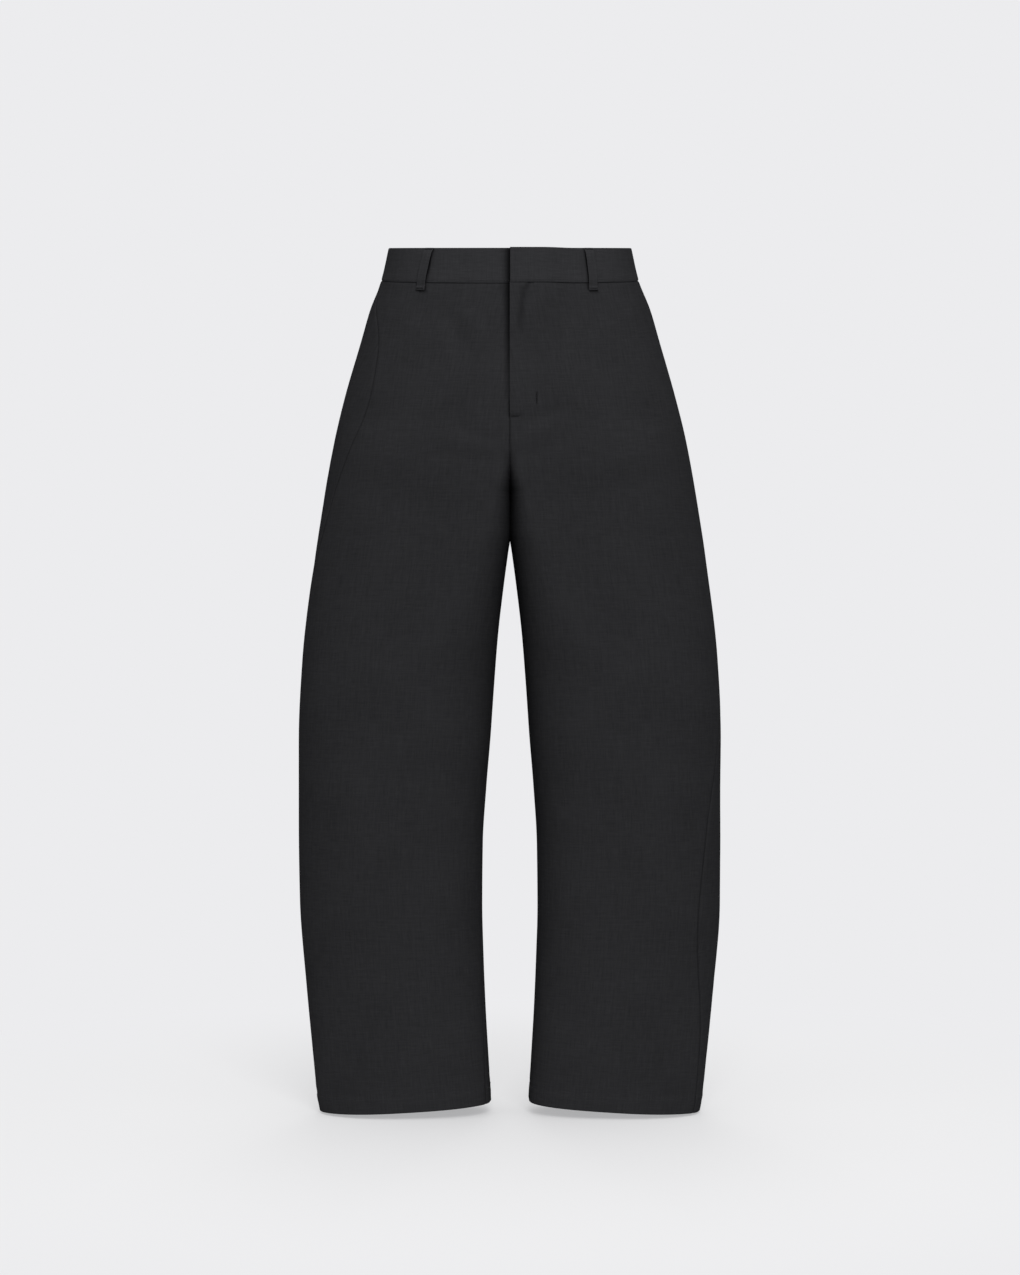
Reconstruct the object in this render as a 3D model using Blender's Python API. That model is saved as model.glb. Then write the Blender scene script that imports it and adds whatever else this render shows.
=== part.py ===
# Barrel leg trousers, hollow and filled out, as they hang from the waist.
# Sizes are in millimetres until the meshes are made, and the front faces -Y.
# The wearer's left side is +X. The origin is in the middle of the waistband.
# A place on the cloth is a level (its height on the side of the garment) and an arc,
# the distance round one half of the garment from the centre front or the inner leg.

import math

import bpy
import numpy as np

MM = 0.001
CLOTH = 1.3
SEAM_GAP = 0.3
HALF_GAP = SEAM_GAP / 2

# Waistband
BAND_TOP = 20
BAND_SEAM = -18
BAND_CLOTH = 2.4
BAND_PROUD = 0.5
BAND_UNDERLAP = 32
BAND_COLUMNS = 28
BAND_LEVELS = (BAND_TOP, 12, 1, -10, BAND_SEAM + HALF_GAP)

# Fly, fork and hem
FLY_FOOT = -182
FLY_UNDERLAP = 6
UNDERLAP_FULL = -158
UNDERLAP_END = -171
FORK = -280
FORK_STEPS = 8
FORK_POWER = 3
HEM = -1000
HEM_DEPTH = 20
HEM_CLOTH = 2.4
HEM_MIDDLE = 126

# Columns of each panel: round its inner edge, then over the rest.
INNER_COLUMNS = 5
OUTER_COLUMNS = 9
CLOSE_LEAST = 24

# Zip, hook and bar
ZIP_FROM = -8
ZIP_TO = 23
ZIP_DEPTH = 1.6
ZIP_THICK = 1.1
ZIP_COLUMNS = 4
CATCH_THICK = 0.8
CATCH_FROM = 11
CATCH_TO = 24
CATCH_TOP = 9
CATCH_BOTTOM = -3

# Belt loops, each with its distance from the centre at its two ends
LOOP_WIDE = 11
LOOP_COLUMNS = ("name", "side", "on_back", "upper", "lower")
LOOP_ROWS = (
    ("loop_front_right", "right", False, 92.5, 103.5),
    ("loop_front_left", "left", False, 90, 96),
    ("loop_back_right", "right", True, 96, 104),
    ("loop_back_left", "left", True, 96, 104),
    ("loop_centre_back", "left", True, 0, 0),
)

# How the barrel form changes from the waist to the hem.
FORM_COLUMNS = ("level", "half_width", "front", "back", "squareness")
FORM_ROWS = (
    (20, 143.6, 98, 102, 2.20),
    (-18, 152.4, 101, 108, 2.22),
    (-54, 166.4, 105, 116, 2.24),
    (-90, 176.8, 108, 122, 2.25),
    (-160, 196.6, 113, 131, 2.28),
    (-208, 208.3, 113, 132, 2.28),
    (-280, 221.4, 108, 118, 2.25),
    (-350, 232.1, 102, 104, 2.20),
    (-470, 246.3, 93, 90, 2.12),
    (-565, 250.7, 87, 82, 2.08),
    (-661, 250.8, 80, 77, 2.05),
    (-756, 249.5, 74, 74, 2.05),
    (-851, 242.3, 66, 71, 2.05),
    (-946, 233.2, 58, 67, 2.05),
    (-978, 229.8, 55, 65.5, 2.05),
    (-1010, 223.6, 53, 64, 2.05),
)

# The inner side of a leg: its distance from the centre, and the size of its rounded corner.
INNER_COLUMNS_OF = ("level", "gap", "corner_wide", "corner_deep")
INNER_ROWS = (
    (-182, 0.15, 0, 40),
    (-205, 0.15, 9, 48),
    (-232, 0.15, 13, 55),
    (-256, 0.15, 18, 65),
    (-280, 0.15, 30, 70),
    (-322, 0.25, 41, 75),
    (-340, 2.3, 46, 76),
    (-381, 7.8, 58, 77),
    (-440, 14.6, 77, 79),
    (-500, 19.3, 100, 86),
    (-560, 23.4, 107, 86),
    (-619, 28.2, 109, 84),
    (-690, 32.3, 108, 79),
    (-760, 32.9, 107, 75),
    (-827, 31.2, 105.5, 68),
    (-887, 28.8, 104.3, 63),
    (-970, 24.2, 102, 56),
    (-1010, 22.4, 101.5, 53),
)

# How far each leg's seams are turned to the front, along the cloth.
TURN_COLUMNS = ("level", "right_outseam", "right_inseam", "left_outseam", "left_inseam")
TURN_ROWS = (
    (-18, 10, 0, 20, 0),
    (-75, 48, 0, 12, 0),
    (-160, 72, 0, 12, 0),
    (-280, 46, 0, 13, 0),
    (-480, 0, 4, 16, -4),
    (-680, -6, 18, 54, -12),
    (-765, -8, 21, 60, -16),
    (-922, -12, 24, 32, -22),
    (-1010, -14, 26, 26, -24),
)

# How a level climbs to the back, and how the hem falls to the outer side.
LEAN_COLUMNS = ("level", "climb", "fall")
LEAN_ROWS = (
    (20, 0.18, 0),
    (-18, 0.20, 0),
    (-182, 0.10, 0),
    (-280, 0.02, 0),
    (-351, 0, 0),
    (-780, 0, 0),
    (-900, 0, 0.03),
    (-1010, 0, 0.06),
)

# The lap of the left side over the right: its height, full up to one arc and gone by the next.
LAP_COLUMNS = ("level", "height", "full_to", "gone_by")
LAP_ROWS = (
    (20, 4.9, 36, 76),
    (-22, 4.9, 36, 76),
    (-80, 2.2, 12, 36),
    (-130, 1.7, 9, 24),
    (-176, 1.7, 9, 24),
    (-182, 0, 9, 24),
)

# A belt loop from its upper end to its folded lower end: the clearance under it and its cloth.
ARCH_COLUMNS = ("level", "clear", "cloth")
ARCH_ROWS = (
    (19.6, 0.8, 1.2),
    (17.5, 1.6, 1.2),
    (12, 3.8, 1.2),
    (2, 4.2, 1.2),
    (-8, 4.2, 1.2),
    (-18, 3.6, 1.2),
    (-23.5, 2.2, 1.2),
    (-26.5, 1.0, 1.4),
    (-28, 0.4, 2.4),
    (-32, 0.3, 2.4),
)

# Panel levels between the waist seam and the fly foot, and between the fork and the hem.
TOP_LEVELS = (
    BAND_SEAM - HALF_GAP, -24, -40, -60, -80, -105, -130, -148, UNDERLAP_FULL, -164, UNDERLAP_END, -176,
    FLY_FOOT,
)
LEG_LEVELS = (
    -284, -291, -304, -320, -332, -350, -378, -410, -450, -495, -540, -590, -640, -690, -740, -790,
    -835, -880, -920, -955, HEM + HEM_DEPTH + 2, HEM + HEM_DEPTH, HEM + 9, HEM,
)

MATERIALS = {
    "cloth": ((0.024, 0.024, 0.026, 1), 0.85, 0),
    "band cloth": ((0.024, 0.024, 0.026, 1), 0.85, 0),
    "loop cloth": ((0.026, 0.026, 0.028, 1), 0.85, 0),
    "zip": ((0.02, 0.02, 0.022, 1), 0.6, 0),
    "steel": ((0.42, 0.42, 0.43, 1), 0.35, 1),
}


def curves(columns, rows):
    # One smooth curve over level for each column, which never overshoots its rows.
    table = np.array(rows, float)[::-1]
    level = table[:, 0]
    step = np.diff(level)
    found = {}
    for index, name in enumerate(columns[1:], 1):
        value = table[:, index]
        rate = np.diff(value) / step
        slope = np.zeros(len(level))
        for k in range(1, len(level) - 1):
            if rate[k - 1] * rate[k] > 0:
                slope[k] = 2 / (1 / rate[k - 1] + 1 / rate[k])
        slope[0] = rate[0]
        slope[-1] = rate[-1]
        found[name] = (level, value, slope)
    return found


def read(curve, at):
    level, value, slope = curve
    at = min(max(at, level[0]), level[-1])
    k = min(int(np.searchsorted(level, at, "right")) - 1, len(level) - 2)
    span = level[k + 1] - level[k]
    t = (at - level[k]) / span
    start = value[k] * (1 + 2 * t) * (1 - t) ** 2 + slope[k] * span * t * (1 - t) ** 2
    return start + value[k + 1] * t * t * (3 - 2 * t) + slope[k + 1] * span * t * t * (t - 1)


FORM = curves(FORM_COLUMNS, FORM_ROWS)
INNER = curves(INNER_COLUMNS_OF, INNER_ROWS)
TURN = curves(TURN_COLUMNS, TURN_ROWS)
LEAN = curves(LEAN_COLUMNS, LEAN_ROWS)
LAP = curves(LAP_COLUMNS, LAP_ROWS)


def half_section(level, depth):
    # One quarter of the level's outline, from the inner side to the widest point, and
    # the number of its points that lie on the flat inner wall before the rounded corner.
    # Depth is the front or the back, and the quarter is given for a positive y.
    half_width = read(FORM["half_width"], level)
    power = 2 / read(FORM["squareness"], level)
    gap = 0
    wide = 0
    deep = 0
    start = depth
    blend = 1
    if level < FLY_FOOT:
        gap = read(INNER["gap"], level)
        wide = min(read(INNER["corner_wide"], level), (half_width - gap) / 2)
        fall = min((FLY_FOOT - level) / (FLY_FOOT - FORK), 1)
        sunk = depth * (1 - math.sqrt(1 - fall**FORK_POWER))
        deep = min(read(INNER["corner_deep"], level), sunk, depth)
        start = depth - sunk
        blend = 1 + fall
    across = gap + wide
    points = []
    if start < depth - deep - 1:
        points += [(gap, y) for y in np.linspace(start, depth - deep, 12, endpoint=False)]
    flat = len(points)
    if deep > 0:
        for turn in np.linspace(0, math.pi / 2, 60, endpoint=False):
            side = wide * math.cos(turn)
            points.append((across - side, depth - deep * (1 - math.sin(turn) ** (2 / blend))))
    for turn in np.linspace(math.pi / 2, 0, 120):
        reach = (half_width - across) * math.cos(turn) ** power
        points.append((across + reach, depth * math.sin(turn) ** power))
    return np.array(points), flat


SECTIONS = {}


def whole_section(level):
    # One half's outline at a level, its arc lengths, the arc of its side and the arcs where
    # its front and back corners begin. It is kept for the next call.
    key = round(level, 4)
    if key not in SECTIONS:
        front, front_flat = half_section(level, read(FORM["front"], level))
        back, back_flat = half_section(level, read(FORM["back"], level))
        outline = np.vstack((front * (1, -1), back[-2::-1]))
        steps = np.hypot(*np.diff(outline, axis=0).T)
        arc = np.concatenate(((0,), np.cumsum(steps)))
        corners = (arc[front_flat], arc[-1 - back_flat])
        SECTIONS[key] = (outline, arc, arc[len(front) - 1], corners)
    return SECTIONS[key]


def section(level):
    return whole_section(level)[:3]


def outline_at(level, arcs):
    outline, arc, _ = section(level)
    arcs = np.asarray(arcs, float)
    whole = arc[-1]
    sign = np.ones_like(arcs)
    if level < FORK:
        arcs = np.mod(arcs, whole)
    elif level < FLY_FOOT:
        arcs = np.clip(arcs, 0, whole)
    else:
        sign = np.where((arcs < 0) | (arcs > whole), -1, 1)
        arcs = whole - np.abs(whole - np.abs(arcs))
    return np.interp(arcs, arc, outline[:, 0]) * sign, np.interp(arcs, arc, outline[:, 1])


def on_cloth(level, arcs):
    x, y = outline_at(level, arcs)
    z = level + read(LEAN["climb"], level) * y - read(LEAN["fall"], level) * (np.abs(x) - HEM_MIDDLE)
    return np.stack((x, y, z), -1)


def place(level, arcs, lift):
    # Points of the cloth moved out by lift, along its normal.
    arcs = np.asarray(arcs, float)
    along = on_cloth(level, arcs + 0.5) - on_cloth(level, arcs - 0.5)
    # Arcs are held from the side, because the centre front and back run away from it at the fork.
    from_side = arcs - section(level)[2]
    above = on_cloth(level + 0.5, section(level + 0.5)[2] + from_side)
    up = above - on_cloth(level - 0.5, section(level - 0.5)[2] + from_side)
    normal = np.cross(along, up)
    normal /= np.linalg.norm(normal, axis=-1, keepdims=True)
    return on_cloth(level, arcs) + normal * np.reshape(lift, (-1, 1))


def lap(level, arcs):
    # How far the left side is lifted where it laps over the right.
    full_to = read(LAP["full_to"], level)
    share = (read(LAP["gone_by"], level) - arcs) / (read(LAP["gone_by"], level) - full_to)
    share = np.clip(share, 0, 1)
    return read(LAP["height"], level) * share * share * (3 - 2 * share)


def spread(start, corner, middle, end):
    # The close columns keep their places on the rounded corner, so that rows line up,
    # and the first one reaches past it to the panel's edge.
    first = corner if abs(middle - corner) < abs(middle - start) else start
    inner = np.linspace(first, middle, INNER_COLUMNS, endpoint=False)
    inner[0] = start
    return np.concatenate((inner, np.linspace(middle, end, OUTER_COLUMNS + 1)))


def arc_of(level, x, from_back):
    # The arc of the front or back of a level at a distance from the centre.
    outline, arc, side_arc = section(level)
    half = arc >= side_arc if from_back else arc <= side_arc
    order = np.argsort(outline[half, 0], kind="stable")
    return float(np.interp(x, outline[half, 0][order], arc[half][order]))


def split_arc(level, from_back):
    # Where a panel's close columns end: past the lap and past the rounded corner.
    outline, _, _ = section(level)
    reach = max(read(INNER["gap"], level) + read(INNER["corner_wide"], level), CLOSE_LEAST)
    if level > FLY_FOOT:
        reach = read(LAP["gone_by"], level)
    reach = min(reach, (outline[:, 0].min() + outline[:, 0].max()) / 2)
    return arc_of(level, reach, from_back)


def new_material(name):
    colour, roughness, metallic = MATERIALS[name]
    made = bpy.data.materials.new(name)
    made.use_nodes = True
    shader = made.node_tree.nodes["Principled BSDF"]
    shader.inputs["Base Color"].default_value = colour
    shader.inputs["Roughness"].default_value = roughness
    shader.inputs["Metallic"].default_value = metallic
    made.diffuse_color = colour
    return made


def shell(name, outer, inner, material):
    # A closed wall between two grids of points, each rows by columns by three.
    rows, columns = outer.shape[:2]
    count = rows * columns
    index = np.arange(count).reshape(rows, columns)
    faces = []
    for grid, flip in ((index, False), (index + count, True)):
        corners = (grid[:-1, :-1], grid[1:, :-1], grid[1:, 1:], grid[:-1, 1:])
        quads = np.stack([corner.ravel() for corner in corners], 1)
        faces += (quads[:, ::-1] if flip else quads).tolist()
    rim = np.concatenate((index[0, :-1], index[:-1, -1], index[-1, :0:-1], index[:0:-1, 0]))
    for here, there in zip(rim, np.roll(rim, -1)):
        faces.append((here, there, there + count, here + count))
    points = np.concatenate((outer.reshape(-1, 3), inner.reshape(-1, 3)))
    if signed_volume(points, faces) < 0:
        faces = [face[::-1] for face in faces]
    mesh = bpy.data.meshes.new(name)
    mesh.from_pydata((points * MM).tolist(), [], faces)
    mesh.materials.append(material)
    mesh.shade_smooth()
    mesh.set_sharp_from_angle(angle=math.radians(50))
    made = bpy.data.objects.new(name, mesh)
    bpy.context.scene.collection.objects.link(made)
    return made


def signed_volume(points, faces):
    total = 0
    for face in faces:
        for k in range(1, len(face) - 1):
            a, b, c = points[face[0]], points[face[k]], points[face[k + 1]]
            total += float(np.dot(a, np.cross(b, c)))
    return total


def mirrored(grid, side):
    return grid * (1 if side == "left" else -1, 1, 1)


def panel_levels():
    fork = []
    for step in range(1, FORK_STEPS + 1):
        turn = math.pi / 2 * step / FORK_STEPS
        fork.append(FLY_FOOT + (FORK - FLY_FOOT) * math.sin(turn) ** (2 / FORK_POWER))
    return TOP_LEVELS + tuple(fork) + LEG_LEVELS


def inner_edge(level, side, is_front):
    # The arc of a panel's centre or inseam edge, before the seam gap.
    whole = section(level)[1][-1]
    turn = read(TURN[side + "_inseam"], level) if level < FORK else 0
    return turn if is_front else whole + turn


def fly_underlap(level):
    # The right front runs under the left one, down to just above the fly foot.
    share = min(max((level - UNDERLAP_END) / (UNDERLAP_FULL - UNDERLAP_END), 0), 1)
    return FLY_UNDERLAP * share


def panel(side, is_front, material):
    outer = []
    inner = []
    for level in panel_levels():
        _, _, side_arc, corners = whole_section(level)
        outseam = side_arc - read(TURN[side + "_outseam"], level)
        edge = inner_edge(level, side, is_front)
        if is_front:
            start = edge + HALF_GAP
            if level > FLY_FOOT and side == "right":
                start -= fly_underlap(level)
            arcs = spread(start, corners[0], split_arc(level, False), outseam - HALF_GAP)
        else:
            arcs = spread(edge - HALF_GAP, corners[1], split_arc(level, True), outseam + HALF_GAP)
        lift = lap(level, arcs) if is_front and side == "left" else np.zeros(len(arcs))
        cloth = HEM_CLOTH if level < HEM + HEM_DEPTH + 1 else CLOTH
        outer.append(place(level, arcs, lift))
        inner.append(place(level, arcs, lift - cloth))
    name = ("front_" if is_front else "back_") + side
    shell(name, mirrored(np.array(outer), side), mirrored(np.array(inner), side), material)


def waistband(side, material):
    outer = []
    inner = []
    for level in BAND_LEVELS:
        whole = section(level)[1][-1]
        start = 0 if side == "left" else -BAND_UNDERLAP
        arcs = np.linspace(start, whole - HALF_GAP, BAND_COLUMNS)
        lift = BAND_PROUD + (lap(level, arcs) if side == "left" else 0 * arcs)
        outer.append(place(level, arcs, lift))
        inner.append(place(level, arcs, lift - BAND_CLOTH))
    name = "waistband_" + side
    shell(name, mirrored(np.array(outer), side), mirrored(np.array(inner), side), material)


def strip(name, levels, arcs, low, high, material):
    # A thin flat piece that follows the cloth, between two heights over it.
    outer = np.array([place(level, arcs, np.full(len(arcs), high)) for level in levels])
    inner = np.array([place(level, arcs, np.full(len(arcs), low)) for level in levels])
    shell(name, outer, inner, material)


def closure(zip_material, steel):
    levels = [level for level in TOP_LEVELS if level > FLY_FOOT]
    arcs = np.linspace(ZIP_FROM, ZIP_TO, ZIP_COLUMNS + 1)
    strip("zip", levels, arcs, -ZIP_DEPTH - ZIP_THICK, -ZIP_DEPTH, zip_material)
    levels = np.linspace(CATCH_TOP, CATCH_BOTTOM, 3)
    arcs = np.linspace(CATCH_FROM, CATCH_TO, 3)
    bar = BAND_PROUD + SEAM_GAP
    hook = bar + CATCH_THICK + SEAM_GAP
    strip("waist_bar", levels, arcs, bar, bar + CATCH_THICK, steel)
    strip("waist_hook", levels, arcs, hook, hook + CATCH_THICK, steel)


def belt_loop(row, material):
    fitting = dict(zip(LOOP_COLUMNS, row))
    across = np.linspace(-LOOP_WIDE / 2, LOOP_WIDE / 2, 3)
    end = ARCH_ROWS[-1][0]
    outer = []
    inner = []
    for level, clear, cloth in ARCH_ROWS:
        down = (BAND_TOP - level) / (BAND_TOP - end)
        x = fitting["upper"] + (fitting["lower"] - fitting["upper"]) * down
        arcs = arc_of(level, x, fitting["on_back"]) + across
        outer.append(place(level, arcs, np.full(3, clear + cloth)))
        inner.append(place(level, arcs, np.full(3, clear)))
    side = fitting["side"]
    shell(fitting["name"], mirrored(np.array(outer), side), mirrored(np.array(inner), side), material)


def main():
    for old in list(bpy.data.objects):
        bpy.data.objects.remove(old)
    made = {name: new_material(name) for name in MATERIALS}
    for side in ("right", "left"):
        panel(side, True, made["cloth"])
        panel(side, False, made["cloth"])
        waistband(side, made["band cloth"])
    closure(made["zip"], made["steel"])
    for row in LOOP_ROWS:
        belt_loop(row, made["loop cloth"])


main()
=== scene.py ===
# Barrel leg trousers: finished cloth, seams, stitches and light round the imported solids.
import math

import bpy
import numpy as np
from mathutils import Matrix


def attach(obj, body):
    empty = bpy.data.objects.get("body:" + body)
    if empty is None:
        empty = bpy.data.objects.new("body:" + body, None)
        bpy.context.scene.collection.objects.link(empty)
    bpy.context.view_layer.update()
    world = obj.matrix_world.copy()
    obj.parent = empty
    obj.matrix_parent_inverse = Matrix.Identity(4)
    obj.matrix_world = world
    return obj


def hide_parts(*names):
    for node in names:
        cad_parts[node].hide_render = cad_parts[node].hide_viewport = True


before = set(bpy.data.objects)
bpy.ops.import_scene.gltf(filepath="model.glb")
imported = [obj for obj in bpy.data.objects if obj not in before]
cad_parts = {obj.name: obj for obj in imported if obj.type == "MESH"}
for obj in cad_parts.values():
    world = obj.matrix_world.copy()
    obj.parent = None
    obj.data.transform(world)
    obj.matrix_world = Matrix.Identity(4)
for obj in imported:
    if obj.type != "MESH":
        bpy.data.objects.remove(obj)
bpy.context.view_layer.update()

mm = 0.001
print("frame loaded")

# The form repeats the solids' own. Sizes are in mm, the front faces -Y and the wearer's
# left is +X. A level is a height on the side of the garment, and an arc is the distance
# round one half of it from the centre front or the inner leg.
form = {
    "columns": ("level", "halfWidth", "front", "back", "squareness"),
    "rows": (
        (20, 143.6, 98, 102, 2.20),
        (-18, 152.4, 101, 108, 2.22),
        (-54, 166.4, 105, 116, 2.24),
        (-90, 176.8, 108, 122, 2.25),
        (-160, 196.6, 113, 131, 2.28),
        (-208, 208.3, 113, 132, 2.28),
        (-280, 221.4, 108, 118, 2.25),
        (-350, 232.1, 102, 104, 2.20),
        (-470, 246.3, 93, 90, 2.12),
        (-565, 250.7, 87, 82, 2.08),
        (-661, 250.8, 80, 77, 2.05),
        (-756, 249.5, 74, 74, 2.05),
        (-851, 242.3, 66, 71, 2.05),
        (-946, 233.2, 58, 67, 2.05),
        (-978, 229.8, 55, 65.5, 2.05),
        (-1010, 223.6, 53, 64, 2.05),
    ),
}

innerLeg = {
    "columns": ("level", "gap", "cornerWide", "cornerDeep"),
    "rows": (
        (-182, -0.25, 0, 40),                # the legs press together down to -322
        (-205, -0.25, 9, 48),
        (-232, -0.25, 13, 55),
        (-256, -0.25, 14, 62),
        (-280, -0.25, 22, 67),
        (-322, -0.2, 34, 72),
        (-340, 2.3, 40, 74),
        (-381, 7.8, 53, 76),
        (-440, 14.6, 73, 78),
        (-500, 19.3, 100, 86),
        (-560, 23.4, 107, 86),
        (-619, 28.2, 109, 84),
        (-690, 32.3, 108, 79),
        (-760, 32.9, 107, 75),
        (-827, 31.2, 105.5, 68),
        (-887, 28.8, 104.3, 63),
        (-970, 24.2, 102, 56),
        (-1010, 22.4, 101.5, 53),
    ),
}

seamTurn = {
    "columns": ("level", "rightOutseam", "rightInseam", "leftOutseam", "leftInseam"),
    "rows": (
        (-18, 12, 0, 20, 0),
        (-42, 32, 0, 15, 0),
        (-79, 62, 0, 12, 0),
        (-110, 74, 0, 12, 0),
        (-160, 82, 0, 12, 0),
        (-280, 50, 0, 13, 0),
        (-480, 0, 4, 16, -4),
        (-680, -6, 18, 54, -12),
        (-765, -8, 21, 60, -16),
        (-922, -12, 24, 32, -22),
        (-1010, -14, 26, 26, -24),
    ),
}

lean = {
    "columns": ("level", "climb", "fall"),
    "rows": (
        (20, 0.18, 0),
        (-18, 0.20, 0),
        (-182, 0.10, 0),
        (-280, 0.02, 0),
        (-351, 0, 0),
        (-780, 0, 0),
        (-900, 0, 0.03),
        (-1010, 0, 0.06),
    ),
}

lapOver = {
    "columns": ("level", "height", "fullTo", "goneBy"),
    "rows": (
        (20, 4.9, 36, 76),
        (-22, 4.9, 36, 76),
        (-80, 2.2, 12, 36),
        (-130, 1.7, 9, 24),
        (-176, 1.7, 9, 24),
        (-182, 0, 9, 24),
    ),
}

# Heights and thicknesses, as in the solids.
garment = {
    "bandTop": 20,
    "bandSeam": -18,
    "flyFoot": -182,
    "fork": -280,
    "forkPower": 3,
    "cornerSquare": 2.5,                     # 2 is a round inner corner, more is squarer
    "hem": -1000,
    "hemDepth": 20,
    "hemMiddle": 126,
    "cloth": 1.3,
    "hemCloth": 2.4,
    "seamGap": -0.25,                        # panels cross at a seam, so no light comes through
    "flyUnderlap": 6,
    "underlapFull": -158,
    "underlapEnd": -171,
}


def makeCurves(table):
    # One smooth curve over level for each column, which never overshoots its rows.
    rows = np.array(table["rows"], float)[::-1]
    level = rows[:, 0]
    step = np.diff(level)
    made = {}
    for index, name in enumerate(table["columns"][1:], 1):
        value = rows[:, index]
        rate = np.diff(value) / step
        slope = np.zeros(len(level))
        for k in range(1, len(level) - 1):
            if rate[k - 1] * rate[k] > 0:
                slope[k] = 2 / (1 / rate[k - 1] + 1 / rate[k])
        slope[0], slope[-1] = rate[0], rate[-1]
        made[name] = (level, value, slope)
    return made


def read(curve, at):
    level, value, slope = curve
    at = min(max(at, level[0]), level[-1])
    k = min(int(np.searchsorted(level, at, "right")) - 1, len(level) - 2)
    span = level[k + 1] - level[k]
    t = (at - level[k]) / span
    start = value[k] * (1 + 2 * t) * (1 - t) ** 2 + slope[k] * span * t * (1 - t) ** 2
    return start + value[k + 1] * t * t * (3 - 2 * t) + slope[k + 1] * span * t * t * (t - 1)


formAt = makeCurves(form)
innerAt = makeCurves(innerLeg)
turnAt = makeCurves(seamTurn)
leanAt = makeCurves(lean)
lapAt = makeCurves(lapOver)


def halfSection(level, depth):
    # One quarter of a level's outline from the inner side to the widest point, and how many
    # of its points are on the flat inner wall.
    halfWidth = read(formAt["halfWidth"], level)
    power = 2 / read(formAt["squareness"], level)
    gap = wide = deep = fall = 0
    start = depth
    if level < garment["flyFoot"]:
        gap = read(innerAt["gap"], level)
        wide = min(read(innerAt["cornerWide"], level), (halfWidth - gap) / 2)
        drop = garment["flyFoot"] - garment["fork"]
        fall = min((garment["flyFoot"] - level) / drop, 1)
        sunk = depth * (1 - math.sqrt(1 - fall ** garment["forkPower"]))
        deep = min(read(innerAt["cornerDeep"], level), sunk, depth)
        start = depth - sunk
    across = gap + wide
    points = []
    if start < depth - deep - 1:
        points += [(gap, y) for y in np.linspace(start, depth - deep, 12, endpoint=False)]
    flat = len(points)
    if deep > 0:
        square = garment["cornerSquare"]
        for turn in np.linspace(0, math.pi / 2, 90, endpoint=False):
            side = wide * math.cos(turn) ** (2 / (2 + (square - 2) * fall))
            rise = math.sin(turn) ** (2 / (1 + (square - 1) * fall))
            points.append((across - side, depth - deep * (1 - rise)))
    for turn in np.linspace(math.pi / 2, 0, 200):
        reach = (halfWidth - across) * math.cos(turn) ** power
        points.append((across + reach, depth * math.sin(turn) ** power))
    return np.array(points), flat


knownSections = {}


def section(level):
    # The outline of one half, its arc lengths, the arc of its side and of its two corners.
    key = round(level, 3)
    if key not in knownSections:
        front, frontFlat = halfSection(level, read(formAt["front"], level))
        back, backFlat = halfSection(level, read(formAt["back"], level))
        outline = np.vstack((front * (1, -1), back[-2::-1]))
        arc = np.concatenate(((0,), np.cumsum(np.hypot(*np.diff(outline, axis=0).T))))
        corners = (arc[frontFlat], arc[-1 - backFlat])
        knownSections[key] = (outline, arc, arc[len(front) - 1], corners)
    return knownSections[key]


def onCloth(level, arcs):
    outline, arc, _, _ = section(level)
    whole = arc[-1]
    sign = np.ones_like(arcs)
    if level < garment["fork"]:
        arcs = np.mod(arcs, whole)
    elif level < garment["flyFoot"]:
        arcs = np.clip(arcs, 0, whole)
    else:
        sign = np.where((arcs < 0) | (arcs > whole), -1, 1)
        arcs = whole - np.abs(whole - np.abs(arcs))
    x = np.interp(arcs, arc, outline[:, 0]) * sign
    y = np.interp(arcs, arc, outline[:, 1])
    fall = read(leanAt["fall"], level) * (np.abs(x) - garment["hemMiddle"])
    return np.stack((x, y, level + read(leanAt["climb"], level) * y - fall), -1)


def place(level, arcs, lift):
    # Points of the cloth moved out by lift, and the way out at each. Arcs are held from the
    # side, because the centre front and back run away from it at the fork.
    arcs = np.asarray(arcs, float)
    along = onCloth(level, arcs + 0.5) - onCloth(level, arcs - 0.5)
    fromSide = arcs - section(level)[2]
    above = onCloth(level + 0.5, section(level + 0.5)[2] + fromSide)
    up = above - onCloth(level - 0.5, section(level - 0.5)[2] + fromSide)
    out = np.cross(along, up)
    out /= np.linalg.norm(out, axis=-1, keepdims=True)
    return onCloth(level, arcs) + out * np.reshape(lift, (-1, 1)), out


def arcOf(level, x, onBack):
    outline, arc, side, _ = section(level)
    half = arc >= side if onBack else arc <= side
    order = np.argsort(outline[half, 0], kind="stable")
    return float(np.interp(x, outline[half, 0][order], arc[half][order]))


def ease(share):
    share = np.clip(share, 0, 1)
    return share * share * (3 - 2 * share)


def lap(level, arcs):
    fullTo = read(lapAt["fullTo"], level)
    goneBy = read(lapAt["goneBy"], level)
    return read(lapAt["height"], level) * ease((goneBy - arcs) / (goneBy - fullTo))


# Cloth details that shape the surface.
relief = {
    "seamDip": 0.9, "seamWidth": 1.5,        # where a panel turns in at a seam
    "allowance": 0.45, "allowanceWidth": 11, # the pressed seam allowance under the cloth
    "waistDip": 1.1, "waistWidth": 1.6,
    "hemRidge": 0.55,                        # the folded hem stands out above its stitch line
    "hemPucker": 0.22, "puckerLength": 13,
    "wave": 0.8,                             # slow unevenness of the hanging cloth
    "foldRidge": 0.45,                       # share of a crease's depth that rises beside it
    "sideFade": 60,                          # creases fade out this far from the side
    "flyStitch": 0.3, "flyStitchWidth": 1.3,
    "facingEdge": 1.3, "facingWidth": 3.6,   # the fly's turned-back edge shows through
}

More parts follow.
